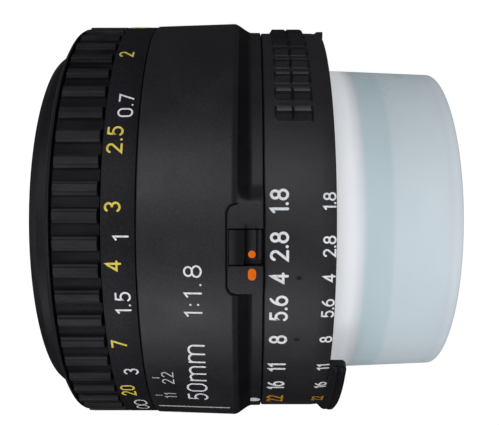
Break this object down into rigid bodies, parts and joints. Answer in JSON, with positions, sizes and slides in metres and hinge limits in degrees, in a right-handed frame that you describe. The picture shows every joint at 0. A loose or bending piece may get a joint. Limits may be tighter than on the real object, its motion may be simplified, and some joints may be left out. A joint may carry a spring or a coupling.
{
  "type": "prime camera lens",
  "caption": "Autofocus prime camera lens with ribbed focus ring, clicked aperture ring, iris, bayonet mount and push-on rear cap",
  "frame": {"origin": "centre of the rear cap's flat end face, on the optical axis", "axes": "+X along the optical axis towards the front of the lens, +Z towards the index line and focal length mark, +Y completes the right-handed set"},
  "size_m": [0.0575, 0.0636, 0.0636],
  "materials": {
    "shell": "fine-textured matte black moulded plastic",
    "inner_plastic": "matte black moulded plastic",
    "grip": "ribbed black rubber",
    "cap": "translucent milky bluish polyethylene",
    "chrome": "satin chrome plate",
    "steel": "plain steel",
    "blackened": "blackened metal",
    "aluminium": "turned aluminium",
    "gold": "gold-plated contact",
    "gear_plastic": "natural acetal",
    "board": "green circuit board",
    "glass": "coated optical glass"
  },
  "bodies": {
    "barrel": {"barrel_cover": "shell", "fixed_tube": "inner_plastic", "bayonet_mount": "chrome", "rear_baffle": "inner_plastic", "contact_block": "inner_plastic", "circuit_board": "board", "helicoid_keeper": "aluminium", "shaft_bracket": "steel", "click_spring": "steel", "mount_screw_1": "steel", "mount_screw_2": "steel", "mount_screw_3": "steel", "baffle_screw_1": "blackened", "baffle_screw_2": "blackened", "contact_pin_1": "gold", "contact_pin_2": "gold", "contact_pin_3": "gold", "contact_pin_4": "gold", "contact_pin_5": "gold", "guide_key_1": "steel", "guide_key_2": "steel"},
    "lock": {"lock_slider": "shell"},
    "aperture": {"aperture_ring": "shell", "aperture_arm": "steel"},
    "stop_down": {"stop_down_ring": "steel"},
    "focus": {"focus_ring": "shell", "focus_grip": "grip", "focus_helicoid": "aluminium", "focus_gear": "gear_plastic", "focus_screw_1": "steel", "focus_screw_2": "steel", "focus_screw_3": "steel"},
    "drive": {"drive_shaft": "steel", "drive_pinion": "gear_plastic"},
    "optical_unit": {"optical_barrel": "aluminium", "filter_ring": "shell", "name_ring": "inner_plastic", "front_cell": "blackened", "front_retainer": "blackened", "lens_1": "glass", "lens_2": "glass", "lens_3": "glass", "lens_4": "glass", "lens_5": "glass", "lens_6": "glass", "iris_housing": "blackened", "rear_cell": "blackened"},
    "iris_cam": {"iris_cam_ring": "steel"},
    "cap": {"rear_cap": "cap"},
    "blade_1": {"iris_blade_1": "blackened"},
    "blade_2": {"iris_blade_2": "blackened"},
    "blade_3": {"iris_blade_3": "blackened"},
    "blade_4": {"iris_blade_4": "blackened"},
    "blade_5": {"iris_blade_5": "blackened"},
    "blade_6": {"iris_blade_6": "blackened"},
    "blade_7": {"iris_blade_7": "blackened"}
  },
  "joints": [
    {"name": "focus_turn", "type": "hinge", "parent": "barrel", "child": "focus", "pos_m": [0.045, 0, 0], "axis": [-1, 0, 0], "range_deg": [0, 150]},
    {"name": "optical_slide", "type": "slide", "parent": "barrel", "child": "optical_unit", "axis": [1, 0, 0], "range_m": [0, 0.00787]},
    {"name": "drive_turn", "type": "hinge", "parent": "barrel", "child": "drive", "pos_m": [0.0285, -0.01607, -0.01915], "axis": [-1, 0, 0], "range_deg": [0, 2026]},
    {"name": "aperture_turn", "type": "hinge", "parent": "barrel", "child": "aperture", "pos_m": [0.0225, 0, 0], "axis": [-1, 0, 0], "range_deg": [0, 66.1]},
    {"name": "stop_down_turn", "type": "hinge", "parent": "barrel", "child": "stop_down", "pos_m": [0.023, 0, 0], "axis": [-1, 0, 0], "range_deg": [0, 66.2]},
    {"name": "iris_cam_turn", "type": "hinge", "parent": "optical_unit", "child": "iris_cam", "pos_m": [0.0287, 0, 0], "axis": [-1, 0, 0], "range_deg": [0, 66.2]},
    {"name": "blade_1_swing", "type": "hinge", "parent": "optical_unit", "child": "blade_1", "pos_m": [0.0302, 0, 0.0162], "axis": [-1, 0, 0], "range_deg": [0, 36.8]},
    {"name": "blade_2_swing", "type": "hinge", "parent": "optical_unit", "child": "blade_2", "pos_m": [0.0305, -0.01267, 0.0101], "axis": [-1, 0, 0], "range_deg": [0, 36.8]},
    {"name": "blade_3_swing", "type": "hinge", "parent": "optical_unit", "child": "blade_3", "pos_m": [0.0308, -0.01579, -0.0036], "axis": [-1, 0, 0], "range_deg": [0, 36.8]},
    {"name": "blade_4_swing", "type": "hinge", "parent": "optical_unit", "child": "blade_4", "pos_m": [0.0311, -0.00703, -0.0146], "axis": [-1, 0, 0], "range_deg": [0, 36.8]},
    {"name": "blade_5_swing", "type": "hinge", "parent": "optical_unit", "child": "blade_5", "pos_m": [0.0314, 0.00703, -0.0146], "axis": [-1, 0, 0], "range_deg": [0, 36.8]},
    {"name": "blade_6_swing", "type": "hinge", "parent": "optical_unit", "child": "blade_6", "pos_m": [0.0317, 0.01579, -0.0036], "axis": [-1, 0, 0], "range_deg": [0, 36.8]},
    {"name": "blade_7_swing", "type": "hinge", "parent": "optical_unit", "child": "blade_7", "pos_m": [0.032, 0.01267, 0.0101], "axis": [-1, 0, 0], "range_deg": [0, 36.8]},
    {"name": "lock_slide", "type": "hinge", "parent": "barrel", "child": "lock", "pos_m": [0.0295, 0, 0], "axis": [1, 0, 0], "range_deg": [0, 2.6]},
    {"name": "cap_pull", "type": "slide", "parent": "barrel", "child": "cap", "axis": [-1, 0, 0], "range_m": [0, 0.02]}
  ],
  "couplings": [
    {"joint": "optical_slide", "follows": "focus_turn", "m_per_rad": 0.0030023},
    {"joint": "drive_turn", "follows": "focus_turn", "ratio": 13.5},
    {"joint": "stop_down_turn", "follows": "aperture_turn", "ratio": 1},
    {"joint": "iris_cam_turn", "follows": "aperture_turn", "ratio": 1},
    {"joint": "blade_1_swing", "follows": "aperture_turn", "ratio": 0.55522},
    {"joint": "blade_2_swing", "follows": "aperture_turn", "ratio": 0.55522},
    {"joint": "blade_3_swing", "follows": "aperture_turn", "ratio": 0.55522},
    {"joint": "blade_4_swing", "follows": "aperture_turn", "ratio": 0.55522},
    {"joint": "blade_5_swing", "follows": "aperture_turn", "ratio": 0.55522},
    {"joint": "blade_6_swing", "follows": "aperture_turn", "ratio": 0.55522},
    {"joint": "blade_7_swing", "follows": "aperture_turn", "ratio": 0.55522}
  ]
}
